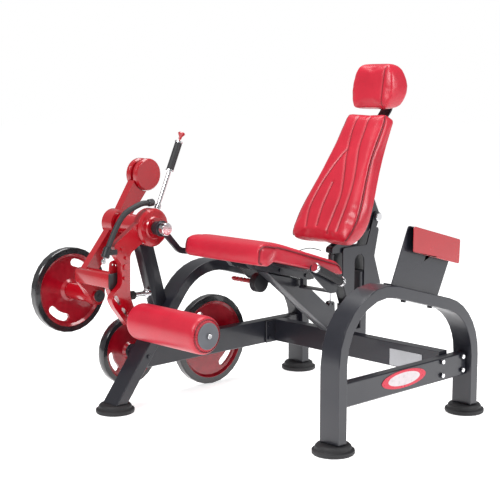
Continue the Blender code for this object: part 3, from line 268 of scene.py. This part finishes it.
def dress(node, item):
    """Give a CAD node its finish and eased edges."""
    if node.startswith("weight_plate"):
        look = plate_paint("paint_" + node, node)
    elif node == "badge":
        look = badge_paint()
    elif node == "instruction_plate":
        look = GLOSS_GREY
    else:
        look = LOOKS[SLOTS[node]]
    item.data.materials.clear()
    item.data.materials.append(look)
    for polygon in item.data.polygons:
        polygon.material_index = 0
    weld = item.modifiers.new("weld", "WELD")
    weld.merge_threshold = 0.00001
    item.modifiers.new("smooth", "NODES").node_group = SMOOTH
    bevel = item.modifiers.new("edges", "BEVEL")
    bevel.width = EDGE_WIDTH
    bevel.segments = 2
    bevel.limit_method = "ANGLE"
    bevel.angle_limit = math.radians(32)
    bevel.harden_normals = True


PADS = ("seat_pad", "backrest_pad", "headrest_pad", "roller_pad")
for node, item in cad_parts.items():
    if node not in PADS:
        dress(node, item)


# ---------------------------------------------------------------- cushions
def rounded(corners, radii, steps=5):
    """Closed outline with its corners turned into arcs."""
    points = []
    count = len(corners)
    for index, corner in enumerate(corners):
        here = Vector(corner)
        before = Vector(corners[index - 1]) - here
        after = Vector(corners[(index + 1) % count]) - here
        reach = min(radii[index], before.length * 0.45, after.length * 0.45)
        start, end = here + before.normalized() * reach, here + after.normalized() * reach
        for step in range(steps + 1):
            t = step / steps
            points.append(start * (1 - t) ** 2 + here * 2 * t * (1 - t) + end * t * t)
    return points


def extruded(name, outline, low, high):
    """A closed outline in (y, z), extruded along X."""
    mesh = bmesh.new()
    sides = [[mesh.verts.new((x, p.x, p.y)) for p in outline] for x in (low, high)]
    mesh.faces.new(sides[0])
    mesh.faces.new(list(reversed(sides[1])))
    for index in range(len(outline)):
        after = (index + 1) % len(outline)
        mesh.faces.new((sides[0][after], sides[0][index], sides[1][index], sides[1][after]))
    bmesh.ops.recalc_face_normals(mesh, faces=mesh.faces)
    data = bpy.data.meshes.new(name)
    mesh.to_mesh(data)
    mesh.free()
    item = bpy.data.objects.new(name, data)
    bpy.context.scene.collection.objects.link(item)
    return item


def applied(item):
    """Bake the object's modifiers into its mesh."""
    scene_graph = bpy.context.evaluated_depsgraph_get()
    data = bpy.data.meshes.new_from_object(item.evaluated_get(scene_graph))
    old = item.data
    item.modifiers.clear()
    item.data = data
    bpy.data.meshes.remove(old)


def points_of(data):
    flat = np.empty(len(data.vertices) * 3)
    data.vertices.foreach_get("co", flat)
    return flat.reshape(-1, 3)


def normals_of(data):
    flat = np.empty(len(data.vertices) * 3)
    data.vertex_normals.foreach_get("vector", flat)
    return flat.reshape(-1, 3)


def inflate(item, limit, hold=None):
    """Blow the cushion up as pressed cloth, with each point's way capped; hold lets the backing stay flat."""
    rest = points_of(item.data)
    normals = normals_of(item.data)
    cloth = item.modifiers.new("inflate", "CLOTH")
    settings = cloth.settings
    settings.quality = 5
    settings.mass = 0.3
    settings.tension_stiffness = settings.compression_stiffness = 8.0
    settings.shear_stiffness = 5.0
    settings.bending_stiffness = 0.4
    settings.use_pressure = True
    settings.uniform_pressure_force = 4.0
    settings.effector_weights.gravity = 0.0
    cloth.point_cache.frame_start = 1
    cloth.point_cache.frame_end = SIM_FRAMES
    scene = bpy.context.scene
    for step in range(1, SIM_FRAMES + 1):
        scene.frame_set(step)
    moved = points_of(item.evaluated_get(bpy.context.evaluated_depsgraph_get()).data)
    item.modifiers.clear()
    scene.frame_set(1)
    way = moved - rest
    length = np.linalg.norm(way, axis=1, keepdims=True)
    way *= limit * np.tanh(length / limit) / np.maximum(length, 1e-9)
    if hold is not None:
        away = np.clip(normals @ np.array(hold), 0.0, 1.0)[:, None]
        way *= 1.0 - 0.92 * away
    item.data.vertices.foreach_set("co", (rest + way).ravel())
    item.data.update()


def refined(item):
    smooth = item.modifiers.new("smooth", "SMOOTH")
    smooth.factor = 0.5
    smooth.iterations = 14
    more = item.modifiers.new("more", "SUBSURF")
    more.levels = more.render_levels = 1
    applied(item)
    item.data.shade_smooth()


def remeshed(item, voxel):
    remesh = item.modifiers.new("remesh", "REMESH")
    remesh.mode = "VOXEL"
    remesh.voxel_size = voxel
    applied(item)


def smooth_line(points, steps=8):
    """A Catmull-Rom line through the points."""
    points = [Vector(p) for p in points]
    count = len(points)
    line = []
    for index in range(count - 1):
        a, b, c, d = (points[min(max(index + k, 0), count - 1)] for k in (-1, 0, 1, 2))
        for step in range(steps):
            t = step / steps
            line.append(0.5 * (2 * b + (c - a) * t + (2 * a - 5 * b + 4 * c - d) * t * t
                               + (3 * b - a - 3 * c + d) * t ** 3))
    line.append(points[-1])
    return line


def settled(item, line):
    """The line's points moved onto the cushion's surface."""
    tree = BVHTree.FromObject(item, bpy.context.evaluated_depsgraph_get())
    return [tree.find_nearest(point)[0] for point in line]


def reach_of(points, line):
    """Each point's distance to the line."""
    best = np.full(len(points), 1e9)
    line = np.array([tuple(p) for p in line])
    for start, end in zip(line[:-1], line[1:]):
        along = end - start
        size = max(float(along @ along), 1e-12)
        t = np.clip((points - start) @ along / size, 0.0, 1.0)[:, None]
        best = np.minimum(best, np.linalg.norm(points - start - t * along, axis=1))
    return best


def sew(item, lines, width, depth, dark=1.0):
    """Press the seams into the cushion and mark them as painted shade for the material."""
    data = item.data
    points, normals = points_of(data), normals_of(data)
    attribute = data.attributes.get("seam_shade") or data.attributes.new("seam_shade", "FLOAT", "POINT")
    seam_shade_marks = np.empty(len(points))
    attribute.data.foreach_get("value", seam_shade_marks)
    sink = np.zeros(len(points))
    for line in lines:
        reach = reach_of(points, line)
        sink = np.maximum(sink, depth * np.exp(-(reach / width) ** 2))
        # strongest on the seam line: painted shade in the pressed groove, scaled by dark
        seam_shade_marks = np.maximum(seam_shade_marks, dark * np.clip(1.5 - reach / (width * 0.34), 0.0, 1.0))
    data.vertices.foreach_set("co", (points - normals * sink[:, None]).ravel())
    attribute.data.foreach_set("value", seam_shade_marks)
    data.update()


def piped(name, item, line, radius, body):
    """A covered cord sewn along the line, darkened with painted shade."""
    curve = bpy.data.curves.new(name, "CURVE")
    curve.dimensions = "3D"
    curve.bevel_depth = radius
    curve.bevel_resolution = 2
    spline = curve.splines.new("POLY")
    spline.points.add(len(line) - 1)
    for point, place in zip(spline.points, line):
        point.co = (*place, 1.0)
    piping = bpy.data.objects.new(name, curve)
    bpy.context.scene.collection.objects.link(piping)
    curve.materials.append(PIPING_SHADE)
    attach(piping, body)
    return piping


def finished(item, node, body):
    item.data.materials.clear()
    item.data.materials.append(LOOKS["red_vinyl"])
    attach(item, body)
    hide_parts(node)


def flat_points(pairs):
    return [(y - REAR, z) for y, z in pairs]


def shrunk(outline, by):
    """The outline moved inwards by a distance."""
    middle = sum(outline, Vector((0, 0))) / len(outline)
    result = []
    for index, point in enumerate(outline):
        along = (outline[(index + 1) % len(outline)] - outline[index - 1]).normalized()
        normal = Vector((along.y, -along.x))
        if normal.dot(point - middle) < 0:
            normal.negate()
        result.append(point - normal * by)
    return result


def eased(item, width, segments=3):
    bevel = item.modifiers.new("ease", "BEVEL")
    bevel.width = width
    bevel.segments = segments
    bevel.limit_method = "ANGLE"
    bevel.angle_limit = math.radians(50)


def make_seat():
    corners = flat_points([(0.000, 0.622), (0.004, 0.709), (0.120, 0.702), (0.478, 0.588), (0.506, 0.532),
                           (0.090, 0.636), (0.062, 0.622)])
    outline = shrunk(rounded(corners, [0.024, 0.040, 0.080, 0.028, 0.015, 0.020, 0.015]), 0.004)
    half = 0.211
    item = extruded("seat_cushion", outline, SEAT_X - half, SEAT_X + half)
    eased(item, 0.017, 4)
    applied(item)
    remeshed(item, VOXEL)
    inflate(item, 0.009, (0.0, 0.18, -0.98))
    refined(item)
    edge = rounded(corners, [0.030, 0.040, 0.080, 0.028, 0.004, 0.004, 0.004], 8)
    edge = shrunk(edge, 0.007)
    visible = edge[:36]
    lines = []
    for side in (1, -1):
        line = settled(item, [Vector((SEAT_X + side * (half + BOW), p.x, p.y)) for p in visible])
        lines.append(line)
    across = []
    for y in (0.075, 0.300):
        z = 0.712 if y < 0.1 else 0.702 - (y - 0.120) * 0.114 / 0.358 + 0.006
        across.append(settled(item, [Vector((SEAT_X + half * t, y - REAR, z)) for t in
                                     [k / 24 - 1 for k in range(49)]]))
    sew(item, lines, 0.007, 0.0035)
    sew(item, across, 0.006, 0.0022, 0.35)
    finished(item, "seat_pad", "frame")
    for index, line in enumerate(lines):
        piped(f"seat_piping_{index}", item, line, 0.0024, "frame")


BACK_WIDTHS = (0.137, 0.160, 0.170, 0.174, 0.172, 0.166, 0.158, 0.150, 0.142, 0.135, 0.129, 0.124, 0.120, 0.117,
               0.114, 0.110, 0.098)
HEAD_WIDTHS = (0.082, 0.098, 0.106, 0.111, 0.114, 0.115, 0.115, 0.113, 0.110, 0.105, 0.098, 0.086, 0.066)


def width_at(widths, share):
    """Half width at a share of the height, read along an even row of stations."""
    place = min(1.0, max(0.0, share)) * (len(widths) - 1)
    index = min(int(place), len(widths) - 2)
    return widths[index] + (widths[index + 1] - widths[index]) * (place - index)


def widen(item, built, low, high, widths):
    """Give a cushion built with straight sides its outline."""
    points = points_of(item.data)
    stations = np.linspace(low, high, len(widths))
    points[:, 0] = SEAT_X + (points[:, 0] - SEAT_X) * np.interp(points[:, 2], stations, widths) / built
    item.data.vertices.foreach_set("co", points.ravel())
    item.data.update()


def back_front(u, v, out=0.012):
    """A point just in front of the backrest's face, u across and v up."""
    half = width_at(BACK_WIDTHS, 0.045 + 0.95 * v)
    y, z = 0.545 + (0.866 - 0.545) * v - REAR, 0.655 + (1.188 - 0.655) * v
    return Vector((SEAT_X + half * 0.95 * (2 * u - 1), y - out * 0.86, z + out * 0.51))


def make_backrest():
    corners = flat_points([(0.545, 0.655), (0.866, 1.188), (0.930, 1.152), (0.668, 0.672), (0.615, 0.628)])
    outline = shrunk(rounded(corners, [0.030, 0.022, 0.020, 0.040, 0.035]), 0.004)
    item = extruded("back_cushion", outline, SEAT_X - 0.168, SEAT_X + 0.168)
    eased(item, 0.024, 5)
    applied(item)
    remeshed(item, VOXEL)
    widen(item, 0.168, 0.630, 1.190, BACK_WIDTHS)
    inflate(item, 0.010, (0.0, 0.87, -0.49))
    refined(item)
    channels = [
        [(0.43, 0.70), (0.357, 0.83), (0.327, 0.964)],
        [(0.43, 0.70), (0.306, 0.60), (0.205, 0.434), (0.197, 0.24), (0.263, 0.096)],
        [(0.43, 0.70), (0.47, 0.627), (0.56, 0.518), (0.648, 0.36), (0.645, 0.24), (0.645, 0.05)],
        [(0.41, 0.434), (0.405, 0.265), (0.438, 0.11)],
        [(0.654, 0.964), (0.68, 0.72), (0.762, 0.578), (0.814, 0.386), (0.81, 0.084)],
    ]
    sewn = [settled(item, smooth_line([back_front(*uv) for uv in channel])) for channel in channels]
    sides = []
    for side in (1, -1):
        line = []
        for step in range(41):
            v = step / 40
            half = width_at(BACK_WIDTHS, 0.045 + 0.95 * v)
            point = back_front(0.5, v, -0.008)
            line.append(Vector((SEAT_X + side * (half + BOW), point.y, point.z)))
        sides.append(settled(item, line))
    sew(item, sewn, 0.0075, 0.0040, 0.75)
    sew(item, sides, 0.006, 0.003)
    finished(item, "backrest_pad", "backrest")
    for index, line in enumerate(sides):
        piped(f"back_piping_{index}", item, line, 0.0022, "backrest")


def make_headrest():
    corners = flat_points([(0.874, 1.1915), (0.905, 1.395), (0.985, 1.388), (1.014, 1.285), (0.975, 1.1975)])
    outline = shrunk(rounded(corners, [0.016, 0.026, 0.048, 0.050, 0.032]), 0.004)
    item = extruded("head_cushion", outline, SEAT_X - 0.113, SEAT_X + 0.113)
    eased(item, 0.030, 5)
    applied(item)
    remeshed(item, VOXEL)
    widen(item, 0.113, 1.190, 1.396, HEAD_WIDTHS)
    inflate(item, 0.007, (0.0, 0.9, -0.2))
    refined(item)
    seams = []
    for u in (0.80,):
        x = SEAT_X + 0.113 * (2 * u - 1)
        seams.append(settled(item, [Vector((x, 0.874 + 0.031 * t - 0.012 - REAR, 1.188 + 0.207 * t)) for t in
                                    [k / 30 for k in range(31)]]))
    sew(item, seams, 0.008, 0.0018, 0.8)
    finished(item, "headrest_pad", "backrest")


def make_roller():
    middle = Vector((0.0, -0.186 - REAR, 0.380))
    low, high, radius = -0.868 + CENTRE_X, -0.462 + CENTRE_X, 0.0735
    outline = [middle.yz + Vector((math.cos(a), math.sin(a))) * radius for a in
               [k * math.tau / 64 for k in range(64)]]
    item = extruded("roller_cushion", outline, low + 0.002, high - 0.001)
    eased(item, 0.018, 4)
    applied(item)
    remeshed(item, VOXEL)
    inflate(item, 0.0025)
    refined(item)
    points = points_of(item.data)
    normals = normals_of(item.data)
    across = points[:, 1:] - np.array(middle.yz)
    out = np.linalg.norm(across, axis=1)
    angle = np.arctan2(across[:, 1], across[:, 0])
    on_end = np.abs(normals[:, 0]) > 0.5
    pleat = np.where(on_end, 0.0012 * np.cos(angle * 36) * np.exp(-((out - 0.060) / 0.010) ** 2), 0.0)
    item.data.vertices.foreach_set("co", (points + normals * pleat[:, None]).ravel())
    item.data.update()
    rings = []
    for x in (high, low):
        ring = [Vector((x, middle.y + 0.064 * math.cos(a), middle.z + 0.064 * math.sin(a))) for a in
                [k * math.tau / 60 for k in range(61)]]
        rings.append(settled(item, ring))
    sew(item, rings, 0.004, 0.002)
    finished(item, "roller_pad", "roller")
    piped("roller_piping", item, rings[0], 0.0018, "roller")


make_seat()
make_backrest()
make_headrest()
make_roller()


# ---------------------------------------------------------------- screw heads
def screw_head(name, place, facing, radius, body):
    """A domed socket screw over one of the frame's fused heads."""
    mesh = bmesh.new()
    depth = 0.0035
    bmesh.ops.create_cone(mesh, cap_ends=True, segments=24, radius1=radius, radius2=radius * 0.82, depth=depth)
    for face in mesh.faces:
        face.smooth = abs(face.normal.z) < 0.9
    data = bpy.data.meshes.new(name)
    mesh.to_mesh(data)
    mesh.free()
    item = bpy.data.objects.new(name, data)
    bpy.context.scene.collection.objects.link(item)
    data.materials.append(LOOKS["chrome"])
    facing = Vector(facing).normalized()
    item.matrix_world = (Matrix.Translation(Vector(place) + facing * depth / 2)
                         @ facing.to_track_quat("Z", "Y").to_matrix().to_4x4())
    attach(item, body)


def from_layout(x, y, z):
    return Vector((x + CENTRE_X, y - REAR, z))


for index, (y, z) in enumerate(((0.597, 0.183), (0.727, 0.183), (0.597, 0.237), (0.727, 0.237))):
    screw_head(f"beam_screw_{index}", from_layout(0.0271, y, z), (1, 0, 0), 0.0098, "frame")
cap_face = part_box("roller_end_cap")[1][0]
screw_head("roller_screw", from_layout(cap_face - CENTRE_X, -0.186, 0.380), (1, 0, 0), 0.011, "roller")

# ---------------------------------------------------------------- floor, light and camera
floor_look = surface("floor", (0.86, 0.86, 0.865), 0.75, grain=60.0, depth=0.0005, strength=0.05, shade=0.995)
glow = next(node for node in floor_look.node_tree.nodes if node.type == "BSDF_PRINCIPLED")
glow.inputs["Emission Color"].default_value = (1.0, 1.0, 1.0, 1.0)
glow.inputs["Emission Strength"].default_value = 0.69
bpy.ops.mesh.primitive_plane_add(size=60.0, location=(0, 0, 0))
floor = bpy.context.object
floor.name = "floor"
floor.data.materials.append(floor_look)

scene = bpy.context.scene
scene.view_settings.view_transform = "Standard"
scene.view_settings.look = "None"
world = bpy.data.worlds.new("studio")
scene.world = world
world.use_nodes = True
background = next(node for node in world.node_tree.nodes if node.type == "BACKGROUND")
background.inputs["Color"].default_value = (1.0, 1.0, 1.0, 1.0)
background.inputs["Strength"].default_value = 0.36
seen = world.node_tree.nodes.new("ShaderNodeBackground")
seen.inputs["Color"].default_value = (1.0, 1.0, 1.0, 1.0)
seen.inputs["Strength"].default_value = 1.0
choice = world.node_tree.nodes.new("ShaderNodeMixShader")
rays = world.node_tree.nodes.new("ShaderNodeLightPath")
output = next(node for node in world.node_tree.nodes if node.type == "OUTPUT_WORLD")
for start, end in ((rays.outputs["Is Camera Ray"], choice.inputs[0]), (background.outputs[0], choice.inputs[1]),
                   (seen.outputs[0], choice.inputs[2]), (choice.outputs[0], output.inputs["Surface"])):
    world.node_tree.links.new(start, end)


def softbox(name, place, target, size, power):
    data = bpy.data.lights.new(name, "AREA")
    data.shape = "RECTANGLE"
    data.size, data.size_y = size
    data.energy = power
    item = bpy.data.objects.new(name, data)
    scene.collection.objects.link(item)
    item.location = place
    item.rotation_mode = "QUATERNION"
    item.rotation_quaternion = (Vector(place) - Vector(target)).to_track_quat("Z", "Y")


softbox("key", (0.4, -3.4, 3.4), (0, 0, 0.6), (1.6, 1.4), 120)
softbox("side", (3.6, 1.4, 2.6), (0, 0, 0.6), (1.2, 1.6), 90)
softbox("top", (-0.4, 0.4, 4.0), (0, 0, 0.4), (2.2, 2.2), 110)

camera_data = bpy.data.cameras.new("camera")
camera = bpy.data.objects.new("camera", camera_data)
scene.collection.objects.link(camera)
heading, pitch = math.radians(46), math.radians(8)
forward = Vector((-math.sin(heading) * math.cos(pitch), math.cos(heading) * math.cos(pitch), -math.sin(pitch)))
camera.location = (3.3805, -3.36955, 1.3)
camera.rotation_mode = "QUATERNION"
camera.rotation_quaternion = forward.to_track_quat("-Z", "Y")
camera_data.sensor_width = 36.0
camera_data.lens = 84.8
camera_data.dof.use_dof = False
scene.camera = camera
